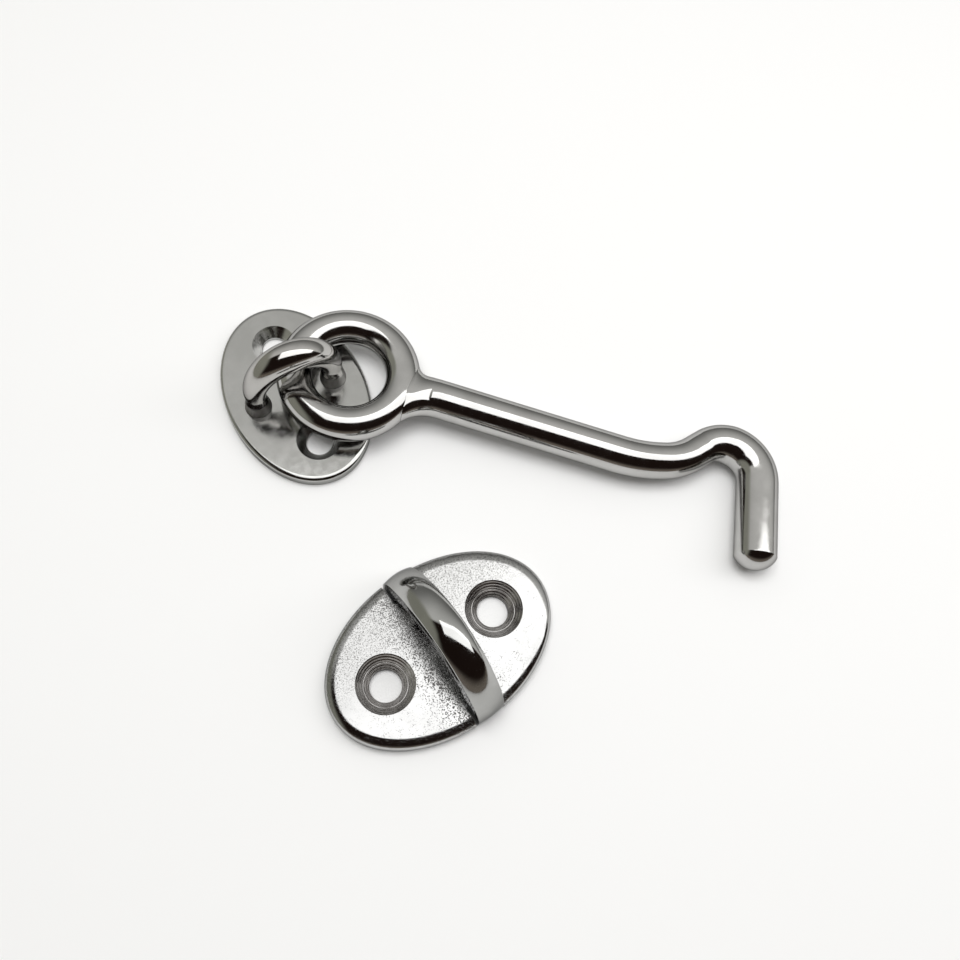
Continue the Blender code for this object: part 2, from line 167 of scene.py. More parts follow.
@dataclass
class Shell:
    """A mesh under way: grids and caps that share one list of points."""

    points: Array = field(default_factory=lambda: np.zeros((0, 3)))
    faces: list[Array] = field(default_factory=list)

    def add_points(self, points: Array) -> Array:
        """Adds points and tells their numbers.

        Args:
            points: Points of any grid shape, with x, y, z last.

        Returns:
            Their numbers, in the grid's shape.
        """
        first = len(self.points)
        flat = points.reshape(-1, 3)
        self.points = np.concatenate([self.points, flat])
        return (first + np.arange(len(flat))).reshape(points.shape[:-1])

    def skin(self, numbers: Array, close_rows: bool = False, close_columns: bool = True) -> None:
        """Joins each point of a grid to the next in its row and in its column with four-sided faces.

        Args:
            numbers: Point numbers, one row for each section.
            close_rows: Whether the last row joins the first.
            close_columns: Whether each row is a closed loop.
        """
        grid = np.concatenate([numbers, numbers[:1]]) if close_rows else numbers
        grid = np.concatenate([grid, grid[:, :1]], axis=1) if close_columns else grid
        corners = (grid[:-1, :-1], grid[:-1, 1:], grid[1:, 1:], grid[1:, :-1])
        self.faces.append(np.stack(corners, axis=-1).reshape(-1, 4))

    def fan(self, loop: Array, tip: Array, last: bool) -> None:
        """Closes a loop with triangles to one point.

        Args:
            loop: Point numbers of the loop.
            tip: Where the triangles meet.
            last: Whether the loop is the last row of its grid, which sets the way round.
        """
        pole = self.add_points(tip.reshape(1, 3))[0]
        after = np.roll(loop, -1)
        pair = (loop, after) if last else (after, loop)
        self.faces.append(np.stack([*pair, np.full(len(loop), pole)], axis=-1))

    def lid(self, loop: Array, last: bool) -> None:
        """Closes a flat loop with one face; last tells whether it is the last row of its grid."""
        self.faces.append((loop if last else loop[::-1]).reshape(1, -1))

    def object(self, name: str) -> Piece:
        """Puts the mesh into the scene with its faces outwards.

        Args:
            name: The object's name.

        Returns:
            The object, at the origin and unturned.
        """
        mesh = bpy.data.meshes.new(name)
        mesh.from_pydata(self.points.tolist(), [], [face for group in self.faces for face in group.tolist()])
        mesh.shade_smooth()
        mesh.update()
        piece = bpy.data.objects.new(name, mesh)
        bpy.context.scene.collection.objects.link(piece)
        return piece


def closed(name: str, grid: Array) -> Piece:
    """Turns a row of closed sections into a solid with a flat lid at either end.

    Args:
        name: The object's name.
        grid: Points, one row for each section.

    Returns:
        The solid.
    """
    shell = Shell()
    numbers = shell.add_points(grid)
    shell.skin(numbers)
    shell.lid(numbers[0], last=False)
    shell.lid(numbers[-1], last=True)
    return shell.object(name)


@dataclass
class Rod:
    """A rod of oval section along a centre line.

    A point of the surface is centre + across * width * cos(a) + up * height * sin(a).
    """

    centres: Array
    across: Array
    up: Array
    width: Array
    height: Array
    segments: int = 72

    def grid(self) -> Array:
        """Returns the surface's points, one row for each place along the centre line."""
        angle = circle(self.segments)
        cosine, sine = np.cos(angle)[None, :, None], np.sin(angle)[None, :, None]
        return (self.centres[:, None, :] + self.across[:, None, :] * self.width[:, None, None] * cosine
                + self.up[:, None, :] * self.height[:, None, None] * sine)


def carve(piece: Piece, cutters: list[Piece]) -> None:
    """Takes cutters away from a piece for good, and drops them.

    Args:
        piece: What is cut.
        cutters: Closed solids.
    """
    for cutter in cutters:
        step = piece.modifiers.new(cutter.name, "BOOLEAN")
        step.operation, step.solver, step.object = "DIFFERENCE", "EXACT", cutter
    bpy.context.view_layer.update()
    finished = bpy.data.meshes.new_from_object(piece.evaluated_get(bpy.context.evaluated_depsgraph_get()))
    piece.modifiers.clear()
    piece.data = finished
    for cutter in cutters:
        bpy.data.objects.remove(cutter, do_unlink=True)


def crisp(piece: Piece, degrees: float) -> None:
    """Keeps flat faces flat up to their rims, and breaks the shading at edges sharper than an angle.

    Args:
        piece: A cut plate.
        degrees: The angle.
    """
    piece.data.shade_smooth()
    piece.data.set_sharp_from_angle(angle=math.radians(degrees))
    weigh = piece.modifiers.new("flat_faces", "WEIGHTED_NORMAL")
    weigh.keep_sharp = True


def attach(piece: Piece, body: Body, node: str) -> None:
    """Lets a piece stand for a node of the model and ride on its body.

    Args:
        piece: The finished piece.
        body: What it moves with.
        node: The node that it stands for.
    """
    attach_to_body(piece, body.value)
    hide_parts(node)
    LOG.info("%s: %d points, rides on %s", piece.name, len(piece.data.vertices), body.value)


class Graph:
    """Lays out the nodes of one material."""

    def __init__(self, name: str) -> None:
        """Starts a material with its Principled shader.

        Args:
            name: The material's name.
        """
        self.material = bpy.data.materials.new(name)
        self.material.use_nodes = True
        self.tree = self.material.node_tree
        self.shader = self.tree.nodes["Principled BSDF"]

    def add(self, kind: str, settings: dict[str, object] | None = None,
            **inputs: object) -> bpy.types.Node:
        """Adds a node.

        Args:
            kind: The node's type.
            settings: Its own options.
            inputs: Values or other nodes' outputs for its sockets, with _ for a space and a number as i0, i1.

        Returns:
            The node.
        """
        node = self.tree.nodes.new(kind)
        for key, value in (settings or {}).items():
            setattr(node, key, value)
        for key, value in inputs.items():
            place = int(key[1:]) if key[0] == "i" and key[1:].isdigit() else key.replace("_", " ")
            self.feed(node.inputs[place], value)
        return node

    def feed(self, socket: Socket, value: object) -> None:
        """Links an output to a socket, or writes a plain value there."""
        if isinstance(value, Socket):
            self.tree.links.new(value, socket)
        else:
            socket.default_value = value

    def math(self, operation: str, *values: object) -> Socket:
        """Works out one number.

        Args:
            operation: The Math node's operation.
            values: Its inputs in order.

        Returns:
            The result's socket.
        """
        node = self.add("ShaderNodeMath", {"operation": operation})
        for socket, value in zip(node.inputs, values):
            self.feed(socket, value)
        return node.outputs[0]

    def span(self, value: object, low: float, high: float, start: float, end: float) -> Socket:
        """Maps a value smoothly from low..high to start..end, and returns the result's socket."""
        return self.add("ShaderNodeMapRange", {"interpolation_type": "SMOOTHSTEP"}, i0=value, i1=low, i2=high,
                        i3=start, i4=end).outputs[0]

    def noise(self, where: Socket, size: float, detail: float = 2.0) -> Socket:
        """Adds noise with blotches of a size in metres and some finer layers; its mean is about 0.5."""
        return self.add("ShaderNodeTexNoise", None, Vector=where, Scale=1.0 / size, Detail=detail).outputs[0]

    def mix(self, share: object, first: object, second: Colour) -> Socket:
        """Blends two colours.

        Args:
            share: How much of the second.
            first: A colour, or the socket of one.
            second: A colour.

        Returns:
            The colour's socket.
        """
        node = self.add("ShaderNodeMix", {"data_type": "RGBA"}, i0=share, i7=(*second, 1.0))
        self.feed(node.inputs[6], first if isinstance(first, Socket) else (*first, 1.0))
        return node.outputs[2]


@dataclass(frozen=True)
class Steel:
    """Polished stainless steel: a clear metal with faint tone, gloss and waviness of its surface."""

    name: str
    light: Colour
    dark: Colour
    gloss: Pair
    rim: Colour = (0.35, 0.35, 0.35)
    tone_size: float = 4.0 * MM
    tone_detail: float = 4.0
    tone_range: Pair = (0.35, 0.65)
    haze_share: float = 0.3
    haze_detail: float = 5.0
    haze_range: Pair = (0.3, 0.7)
    wave_size: float = 2.5 * MM
    wave_height: float = 3e-6
    grain_size: float = 0.12 * MM
    grain_detail: float = 3.0
    grain_height: float = 1.6e-6

    def graph(self) -> tuple[Graph, Socket]:
        """Starts the material.

        Returns:
            The graph and the Object coordinates.
        """
        graph = Graph(self.name)
        where = graph.add("ShaderNodeTexCoord").outputs["Object"]
        shader = graph.shader
        shader.inputs["Metallic"].default_value = 1.0
        shader.inputs["Specular Tint"].default_value = (*self.rim, 1.0)
        tone = graph.span(graph.noise(where, self.tone_size, self.tone_detail), *self.tone_range, 0.0, 1.0)
        graph.feed(shader.inputs["Base Color"], graph.mix(tone, self.light, self.dark))
        haze = graph.noise(where, self.tone_size * self.haze_share, self.haze_detail)
        graph.feed(shader.inputs["Roughness"], graph.span(haze, *self.haze_range, *self.gloss))
        return graph, where

    def relief(self, graph: Graph, where: Socket) -> Socket:
        """Sums the height of the slow waves and of the fine grain.

        Args:
            graph: The material's nodes.
            where: The Object coordinates.

        Returns:
            The height's socket, in metres.
        """
        wave = graph.math("MULTIPLY", graph.noise(where, self.wave_size), self.wave_height)
        fine = graph.noise(where, self.grain_size, self.grain_detail)
        grain = graph.math("MULTIPLY", fine, self.grain_height)
        return graph.math("ADD", wave, grain)

    def bump(self, graph: Graph, height: Socket) -> None:
        """Leads a height in metres to the shader's normal."""
        node = graph.add("ShaderNodeBump", None, Strength=1.0, Distance=1.0, Height=height)
        graph.feed(graph.shader.inputs["Normal"], node.outputs[0])

    def material(self) -> bpy.types.Material:
        """Returns the finished material."""
        graph, where = self.graph()
        self.bump(graph, self.relief(graph, where))
        return graph.material


@dataclass(frozen=True)
class FootedSteel(Steel):
    """Polished steel whose gloss fades to satin towards its feet, where no polishing wheel reaches."""

    satin: float = 0.5
    fade: Pair = (3.6 * MM, 5.2 * MM)

    def material(self) -> bpy.types.Material:
        """Returns the finished material."""
        graph, where = self.graph()
        rise = graph.add("ShaderNodeSeparateXYZ", None, Vector=where).outputs[2]
        gloss = graph.shader.inputs["Roughness"].links[0].from_socket
        graph.feed(graph.shader.inputs["Roughness"],
                   graph.math("MAXIMUM", gloss, graph.span(rise, *self.fade, self.satin, 0.0)))
        self.bump(graph, self.relief(graph, where))
        return graph.material


@dataclass(frozen=True)
class CastSteel(Steel):
    """Steel with the pitted, slightly rolling face of a casting, its dark pits crowded beside the bridge, where they
    are partly the casting's own pits and partly painted shade and painted reflection of the bridge.

    A pit opens where patches of noise and the nearness to the bridge add up to more than the distance to the
    nearest of many scattered dots. Sand and grain grow along the plate's own Y. The face is painted darker towards
    its far half as painted shade, and the sand's darkening there is partly the plate's grain and partly painted
    shade.
    """

    centre: Pair = (0.0, 0.0)
    degrees: float = 0.0
    # Colour of the pits and the sand. Beside the bridge and on the far half it is also painted shade.
    pit_and_shade_colour: Colour = (0.09, 0.088, 0.085)
    # Painted shade: the colour that the face darkens to towards its far half.
    far_shade_colour: Colour = (0.38, 0.38, 0.375)
    pit_size: float = 0.20 * MM
    pit_depth: float = 8e-6
    # How much nearness to the bridge crowds the dark pits: partly real pitting, partly painted shade and reflection
    # of the bridge.
    pits_and_shade_by_bridge: float = 0.30
    pit_height: float = -0.10
    pit_patches: float = 0.62
    pit_least: float = 0.095
    pit_soft: float = 0.12
    patch_size: float = 1.2 * MM
    patch_detail: float = 4.0
    sand_size: float = 0.16 * MM
    sand_dark: float = 0.9
    # Where along Y the sand darkens the face: partly the plate's grain, partly painted shade on the far half.
    sand_range: Pair = (0.48, 0.68)
    sand_and_shade_reach: Pair = (0.4, 0.9)
    peel_size: float = 0.13 * MM
    peel_detail: float = 3.0
    peel_height: float = 18e-6
    peel_near: float = 0.3
    peel_share: float = 0.8
    peel_least: float = 0.1
    face: Pair = (1.6 * MM, 2.6 * MM)
    near: float = 2.4 * MM
    far: float = 8.5 * MM
    rise: float = 11.0 * MM

    def material(self) -> bpy.types.Material:
        """Returns the finished material."""
        graph, where = self.graph()
        turned = graph.add("ShaderNodeMapping", {"vector_type": "TEXTURE"}, Vector=where,
                           Location=(*self.centre, 0.0), Rotation=(0.0, 0.0, math.radians(self.degrees)))
        parts = graph.add("ShaderNodeSeparateXYZ", None, Vector=turned.outputs[0])
        nearness = graph.span(graph.math("ABSOLUTE", parts.outputs[0]), self.near, self.far, 1.0, 0.0)
        height = graph.span(parts.outputs[1], -self.rise, self.rise, 0.0, 1.0)
        patches = graph.noise(where, self.patch_size, self.patch_detail)
        patchy = graph.math("MULTIPLY", patches, self.pit_patches)
        # Nearness to the bridge crowds the dark pits there: painted shade and painted reflection of the bridge, on
        # top of real pitting.
        reach = graph.math("MULTIPLY_ADD", graph.math("MULTIPLY", nearness, nearness), self.pits_and_shade_by_bridge, patchy)
        reach = graph.math("MULTIPLY_ADD", height, self.pit_height, reach)
        dots = graph.add("ShaderNodeTexVoronoi", None, Vector=where, Scale=1.0 / self.pit_size).outputs["Distance"]
        pit = graph.span(graph.math("SUBTRACT", reach, dots), self.pit_least, self.pit_least + self.pit_soft,
                         0.0, 1.0)
        pit = graph.math("MULTIPLY", pit, graph.span(parts.outputs[2], *self.face, 0.0, 1.0))
        # Sand grain that darkens the far half of the face: partly the plate's grain, partly painted shade.
        sand = graph.math("MULTIPLY", graph.span(graph.noise(where, self.sand_size), *self.sand_range, 0.0, 1.0),
                          graph.span(height, *self.sand_and_shade_reach, 0.0, self.sand_dark))
        base = graph.shader.inputs["Base Color"]
        # Painted shade: the base colour darkens towards the far half of the face.
        tone = graph.mix(height, base.links[0].from_socket, self.far_shade_colour)
        graph.feed(base, graph.mix(graph.math("MAXIMUM", pit, sand), tone, self.pit_and_shade_colour))
        strength = graph.math("MULTIPLY_ADD", graph.math("MULTIPLY_ADD", nearness, self.peel_near, height),
                              self.peel_share, self.peel_least)
        peel = graph.math("MULTIPLY", graph.noise(where, self.peel_size, self.peel_detail),
                          graph.math("MULTIPLY", strength, self.peel_height))
        cut = graph.math("SUBTRACT", peel, graph.math("MULTIPLY", pit, self.pit_depth))
        self.bump(graph, graph.math("ADD", cut, self.relief(graph, where)))
        return graph.material


@dataclass(frozen=True)
class TurnedSteel(Steel):
    """Steel cut by a turning tool, with rings about each of two holes."""

    holes: tuple[Pair, ...] = ()
    ring_pitch: float = 0.34 * MM
    ring_height: float = 22e-6
    uneven_size: float = 1.1 * MM

    def material(self) -> bpy.types.Material:
        """Returns the finished material."""
        graph, where = self.graph()
        flat = graph.add("ShaderNodeVectorMath", {"operation": "MULTIPLY"}, i0=where, i1=(1.0, 1.0, 0.0)).outputs[0]
        gaps = [graph.add("ShaderNodeVectorMath", {"operation": "DISTANCE"}, i0=flat,
                          i1=(*hole, 0.0)).outputs["Value"] for hole in self.holes]
        radius = graph.math("MINIMUM", *gaps)
        turns = graph.math("SINE", graph.math("MULTIPLY", radius, FULL_TURN / self.ring_pitch))
        uneven = graph.math("MULTIPLY", graph.noise(where, self.uneven_size), self.ring_height)
        rings = graph.math("MULTIPLY", turns, uneven)
        self.bump(graph, graph.math("ADD", rings, self.relief(graph, where)))
        return graph.material


@dataclass
class OvalPlate:
    """An oval plate: a rim profile of inset and height carried round an ellipse along its own normals."""

    name: str
    length_x: float
    length_y: float
    thickness: float
    edge_width: float
    edge_height: float
    back_break: float = 0.2 * MM
    segments: int = 240
    round_steps: int = 18

    def profile(self) -> tuple[Array, Array]:
        """Works out the rim: a broken back edge, an upright wall and a quarter of an ellipse.

        Returns:
            Insets and heights from the back face to the front face.
        """
        angle = np.linspace(0.0, math.pi / 2, self.round_steps)
        inset = np.concatenate([[self.back_break, 0.0], self.edge_width * (1.0 - np.cos(angle))])
        height = np.concatenate([[0.0, self.back_break],
                                 self.thickness - self.edge_height * (1.0 - np.sin(angle))])
        return inset, height

    def solid(self, placing: Placing) -> Piece:
        """Builds the blank.

        Args:
            placing: Where its back face lies.

        Returns:
            The blank plate.
        """
        angle = circle(self.segments)
        half_x, half_y = self.length_x / 2, self.length_y / 2
        rim = np.stack([half_x * np.cos(angle), half_y * np.sin(angle)], axis=-1)
        outward = unit(np.stack([half_y * np.cos(angle), half_x * np.sin(angle)], axis=-1))
        inset, height = self.profile()
        plan = rim[None] - outward[None] * inset[:, None, None]
        heights = np.broadcast_to(height[:, None, None], (*plan.shape[:2], 1))
        return closed(self.name, placing.carry(np.concatenate([plan, heights], axis=-1)))


def turned_cutter(name: str, profile: list[Pair], placing: Placing, x: float, y: float,
                  segments: int = 96) -> Piece:
    """Spins a profile of radius and height about an upright axis, with flat ends.

    Args:
        name: The cutter's name.
        profile: Radii and heights, from the bottom up.
        placing: The plate's frame.
        x: Place of the axis on the plate.
        y: Place of the axis on the plate.
        segments: Steps round.

    Returns:
        The cutter.
    """
    angle = circle(segments)
    radius, height = (np.array(column)[:, None] for column in zip(*profile))
    grid = np.stack(np.broadcast_arrays(x + radius * np.cos(angle), y + radius * np.sin(angle), height), axis=-1)
    return closed(name, placing.carry(grid))


def dress_plate(piece: Piece, face: Steel, wall: Steel, centres: Array, radius: float,
                thickness: float) -> None:
    """Gives a plate its finish and crisp edges, and the walls of its screw holes a finish of their own, which on the
    catch plate is a much darker colour that paints shade in the countersinks.

    A face is a hole's wall if its middle is near a hole's axis, and between the plate's back and front.

    Args:
        piece: The cut plate.
        face: Finish of the plate.
        wall: Finish of the holes' walls.
        centres: Plan places of the holes.
        radius: How far a hole's faces reach from its axis.
        thickness: The plate's thickness.
    """
    mesh = piece.data
    mesh.materials.clear()
    mesh.materials.append(face.material())
    mesh.materials.append(wall.material())
    middles = np.empty(len(mesh.polygons) * 3)
    mesh.polygons.foreach_get("center", middles)
    middles = middles.reshape(-1, 3)
    gaps = np.linalg.norm(middles[:, None, :2] - centres[None], axis=-1).min(axis=1)
    inside = (gaps < radius) & (middles[:, 2] > HAIR) & (middles[:, 2] < thickness - HAIR)
    mesh.polygons.foreach_set("material_index", inside.astype(np.int32))
    mesh.update()
    crisp(piece, PLATE_CREASE)


@dataclass
class HookPlate:
    """The stamped oval plate with two countersunk screw holes and the sockets of the staple's tenons."""

    width: float = 22.0 * MM
    length: float = 31.4 * MM
    thickness: float = 2.0 * MM
    edge_width: float = 0.75 * MM
    edge_height: float = 0.5 * MM
    screw_spacing: float = 17.9 * MM
    hole_radius: float = 2.05 * MM
    sink_radius: float = 3.45 * MM
    sink_depth: float = 1.4 * MM
    tenon_spacing: float = 12.5 * MM
    tenon_hole: float = 1.7 * MM
    rivet_sink: float = 2.7 * MM
    rivet_depth: float = 0.8 * MM
    socket_segments: int = 48
    margin: float = 1.0 * MM

    def cutters(self, placing: Placing) -> list[Piece]:
        """Builds what opens the two screw holes and the two tenon sockets.

        Args:
            placing: The plate's frame.

        Returns:
            Four cutters.
        """
        slope = (self.sink_radius - self.hole_radius) / self.sink_depth
        sink = [(self.hole_radius, -self.margin), (self.hole_radius, self.thickness - self.sink_depth),
                (self.sink_radius + slope * self.margin, self.thickness + self.margin)]
        back = (self.rivet_sink - self.tenon_hole) / self.rivet_depth
        socket = [(self.rivet_sink + back * self.margin, -self.margin), (self.tenon_hole, self.rivet_depth),
                  (self.tenon_hole, self.thickness + self.margin)]
        half, reach = self.screw_spacing / 2, self.tenon_spacing / 2
        return [turned_cutter("sink_upper", sink, placing, 0.0, half),
                turned_cutter("sink_lower", sink, placing, 0.0, -half),
                turned_cutter("socket_right", socket, placing, reach, 0.0, self.socket_segments),
                turned_cutter("socket_left", socket, placing, -reach, 0.0, self.socket_segments)]

    def build(self) -> None:
        """Builds, cuts and dresses the plate."""
        placing = Placing.flat(0.0, 0.0, 0.0)
        plate = OvalPlate("stamped_plate", self.width, self.length, self.thickness, self.edge_width,
                          self.edge_height).solid(placing)
        carve(plate, self.cutters(placing))
        half = self.screw_spacing / 2
        centres = ((0.0, half), (0.0, -half))
        face = Steel("stamped_steel", light=(0.50, 0.50, 0.487), dark=(0.46, 0.46, 0.447), gloss=(0.10, 0.20),
                     wave_height=2e-6)
        wall = TurnedSteel("drilled_steel", light=(0.56, 0.56, 0.55), dark=(0.48, 0.48, 0.47), gloss=(0.12, 0.22),
                           holes=centres, ring_height=3e-6)
        dress_plate(plate, face, wall, np.array(centres), self.sink_radius, self.thickness)
        attach(plate, Body.BASE, "hook_plate")


@dataclass
class Staple:
    """The bow that holds the eye, with necked legs, flared feet and riveted tenons.

    Its centre line is x = -span * cos(a)^(2/n), z = spring + rise * sin(a)^(2/n), and its radius grows from the
    legs to the top in proportion to the height.
    """

    span: float = 6.25 * MM
    spring: float = 5.7 * MM
    top: float = 13.47 * MM
    squareness: float = 2.05
    top_radius: float = 2.34 * MM
    leg_radius: float = 1.60 * MM
    neck_radius: float = 1.64 * MM
    foot_radius: float = 2.08 * MM
    foot: float = 2.03 * MM
    foot_rim: float = 0.06 * MM
    neck_height: float = 3.1 * MM
    tenon_radius: float = 1.4 * MM
    rivet_radius: float = 2.4 * MM
    rivet_depth: float = 0.8 * MM
    flare_power: float = 1.1
    flare_rows: int = 20
    shank_rows: int = 8
    bow_stations: int = 180
    segments: int = 72

    def leg(self) -> tuple[Array, Array]:
        """Works out one leg from its riveted end up to where the bow springs.

        Returns:
            Heights and radii.
        """
        neck = self.foot + self.neck_height
        low = np.array([0.0, self.rivet_depth, self.foot, self.foot])
        low_radius = np.array([self.rivet_radius, self.tenon_radius, self.tenon_radius,
                               self.foot_radius - self.foot_rim])
        flare = np.linspace(self.foot + self.foot_rim, neck, self.flare_rows)
        share = (flare - flare[0]) / (neck - flare[0])
        grown = (1.0 - share) ** self.flare_power
        flare_radius = blend(self.neck_radius, self.foot_radius, grown)
        shank = np.linspace(neck, self.spring, self.shank_rows)[1:-1]
        shank_radius = np.interp(shank, [neck, self.spring], [self.neck_radius, self.leg_radius])
        return np.concatenate([low, flare, shank]), np.concatenate([low_radius, flare_radius, shank_radius])

    def rod(self) -> Rod:
        """Joins leg, bow and leg in one centre line.

        Returns:
            The staple's rod.
        """
        heights, radii = self.leg()
        bow_x, bow_z, rise = arch(self.span, self.spring, self.top, self.squareness, self.bow_stations)
        x = np.concatenate([np.full(len(heights), -self.span), bow_x, np.full(len(heights), self.span)])
        z = np.concatenate([heights, bow_z, heights[::-1]])
        radius = np.concatenate([radii, blend(self.leg_radius, self.top_radius, rise), radii[::-1]])
        centres = np.stack([x, np.zeros_like(x), z], axis=-1)
        way = np.gradient(centres, axis=0)
        count = len(heights)
        way[:count] = (0.0, 0.0, 1.0)
        way[-count:] = (0.0, 0.0, -1.0)
        way = unit(way)
        across = np.stack([-way[:, 2], np.zeros_like(x), way[:, 0]], axis=-1)
        up = np.broadcast_to(np.array([0.0, 1.0, 0.0]), centres.shape)
        return Rod(centres, across, up, radius, radius, self.segments)

    def build(self) -> None:
        """Builds and dresses the staple."""
        staple = closed("riveted_staple", self.rod().grid())
        steel = FootedSteel("staple_steel", light=(0.52, 0.51, 0.495), dark=(0.47, 0.46, 0.445), gloss=(0.06, 0.13))
        staple.data.materials.append(steel.material())
        crisp(staple, ROD_CREASE)
        attach(staple, Body.BASE, "hook_staple")


@dataclass
class EyeRing:
    """The closed eye: a ring in the sloping plane whose rod swells gently to one side.

    The rod's radius is rod + swell * cos(a - thick side), where a is the angle round the eye.
    """

    radius: float = 8.42 * MM
    rod: float = 2.70 * MM
    swell: float = 0.02 * MM
    thick_side: float = -142.0
    slope: float = 0.03665
    crossing: Triple = (-0.24 * MM, -2.18 * MM, 5.5086 * MM)
    stations: int = 216
    segments: int = 80

    def placing(self) -> Placing:
        """Returns the sloping plane's frame, with its origin in the middle of the eye."""
        level = math.sqrt(1.0 - self.slope ** 2)
        right = np.array([level, 0.0, -self.slope])
        crossing = Placing(np.array(self.crossing), right, np.array([0.0, 1.0, 0.0]),
                           np.array([self.slope, 0.0, level]))
        return crossing.shifted(self.radius)

    def rod_radius(self, angle: Array) -> Array:
        """Returns the rod's radius at angles round the eye."""
        return self.rod + self.swell * np.cos(angle - math.radians(self.thick_side))

    def build(self) -> None:
        """Builds and dresses the eye."""
        placing = self.placing()
        angle = circle(self.stations)
        outward = np.cos(angle)[:, None] * placing.right + np.sin(angle)[:, None] * placing.ahead
        radii = self.rod_radius(angle)
        up = np.broadcast_to(placing.up, outward.shape)
        grid = Rod(placing.origin + outward * self.radius, outward, up, radii, radii, self.segments).grid()
        shell = Shell()
        shell.skin(shell.add_points(grid), close_rows=True)
        ring = shell.object("welded_eye")
        steel = Steel("eye_steel", light=(0.51, 0.505, 0.495), dark=(0.47, 0.465, 0.455), gloss=(0.07, 0.14))
        ring.data.materials.append(steel.material())
        attach(ring, Body.EYE, "eye_ring")


@dataclass
class HookBar:
    """The bar of the hook: a neck that saddles the eye, a shank, an S-shaped crank, a turned-down crown and a tip.

    The centre line's heading is the running sum of its curvature, and its place is the running sum of the heading.
    """

    eye: EyeRing
    angle: float = -42.1
    offset: float = 0.47 * MM
    shank_radius: float = 3.05 * MM
    shank_length: float = 43.57 * MM
    bends: tuple[Triple, ...] = ((24.25 * MM, 18.9, 2.925 * MM), (9.5 * MM, 29.0, 2.8 * MM),
                                                     (2.27 * MM, 0.0, 2.8 * MM), (5.18 * MM, -51.6, 3.18 * MM),
                                                     (5.69 * MM, -78.9, 3.28 * MM))
    tip_length: float = 12.6 * MM
    tip_radius: float = 3.28 * MM
    tip_dome: float = 2.0 * MM
    tip_round: float = 0.28 * MM
    upper_fillet: float = 2.0 * MM
    lower_fillet: float = 6.0 * MM
    seam: float = 0.03 * MM
    neck_drop: float = 0.3 * MM
    weld_tilt: float = 15.0
    weld_depth: float = 0.32 * MM
    weld_end: float = 1.7 * MM
    weld_step: float = 0.25 * MM
    step: float = 0.2 * MM
    soften: float = 1.4 * MM
    segments: int = 96
    neck_rows: int = 64
    saddle_rows: int = 9
    saddle_reach: Pair = (0.12, 0.97)
    halvings: int = 40
    fine_steps: int = 20000
    soften_samples: int = 41
    round_rows: int = 7
    dome_rows: int = 26
    pole_rise: float = 0.004 * MM

    def fillet(self, radius: float, side: float) -> Triple:
        """Places a fillet that touches the eye's outside and the shank's side.

        Args:
            radius: The fillet's radius.
            side: Distance from the eye's middle line across to that side of the shank.

        Returns:
            Its centre along and across the shank, and how far along it touches the eye.
        """
        rim = self.eye.radius + float(self.eye.rod_radius(np.array(math.radians(self.angle))))
        across = side + radius
        along = math.sqrt((rim + radius) ** 2 - across ** 2)
        return along, across, along * rim / (rim + radius)

    def flare(self, station: Array, radius: float, side: float) -> Array:
        """Follows a fillet: half width = across - sqrt(radius^2 - back^2), back being the way to its centre.

        Args:
            station: Distances from the eye's centre along the shank.
            radius: The fillet's radius.
            side: Half width of the plain shank on that side.

        Returns:
            Half widths to that side.
        """
        along, across, touch = self.fillet(radius, side)
        back = np.clip(along - station, 0.0, along - touch)
        return across - np.sqrt(np.maximum(radius ** 2 - back ** 2, 0.0))

    def neck_end(self) -> float:
        """Returns how far from the eye's centre the lower fillet runs out."""
        return self.fillet(self.lower_fillet, self.shank_radius - self.offset)[0]

    def neck_point(self, station: Array, angle: Array) -> Array:
        """Works out points of the neck's surface in the bar's own frame.

        What stands proud of a plane that leans to the near side is ground off, which leaves the weld's bright flat.

        Args:
            station: Distances from the eye's centre.
            angle: Angles round the section.

        Returns:
            The points.
        """
        upper = self.flare(station, self.upper_fillet, self.shank_radius + self.offset)
        lower = self.flare(station, self.lower_fillet, self.shank_radius - self.offset)
        share = ease(station, (self.eye.radius, self.neck_end()))
        height = blend(self.eye.rod - self.neck_drop, self.shank_radius, share) * np.sin(angle)
        y = (upper - lower) / 2 + (upper + lower) / 2 * np.cos(angle)
        tilt = math.radians(self.weld_tilt)
        proud = height * math.cos(tilt) - y * math.sin(tilt) - (self.shank_radius - self.weld_depth)
        ground = np.clip((self.neck_end() - self.weld_end - station) / self.weld_step + 1.0, 0.0, 1.0)
        shave = np.maximum(proud, 0.0) * ground
        return np.stack([station, y + shave * math.sin(tilt), height - shave * math.cos(tilt)], axis=-1)

    def clear_of_eye(self, points: Array) -> Array:
        """Tells how far points stand clear of the eye's rod: their way to its middle circle, less its radius.

        Args:
            points: Rows of x, y, z in the bar's own frame.

        Returns:
            The clear distances less the seam, which are negative inside the rod.
        """
        plan = np.hypot(points[..., 0], points[..., 1])
        angle = np.arctan2(points[..., 1], points[..., 0]) + math.radians(self.angle)
        return np.hypot(plan - self.eye.radius, points[..., 2]) - self.eye.rod_radius(angle) - self.seam

    def seam_stations(self, angle: Array) -> Array:
        """Finds by halving where the neck's surface comes out of the eye at each angle round it.

        Args:
            angle: Angles round the section.

        Returns:
            Distances from the eye's centre.
        """
        low = np.full_like(angle, self.eye.radius)
        high = np.full_like(angle, self.neck_end())
        for _ in range(self.halvings):
            middle = (low + high) / 2
            outside = self.clear_of_eye(self.neck_point(middle, angle)) > 0.0
            high = np.where(outside, middle, high)
            low = np.where(outside, low, middle)
        return high

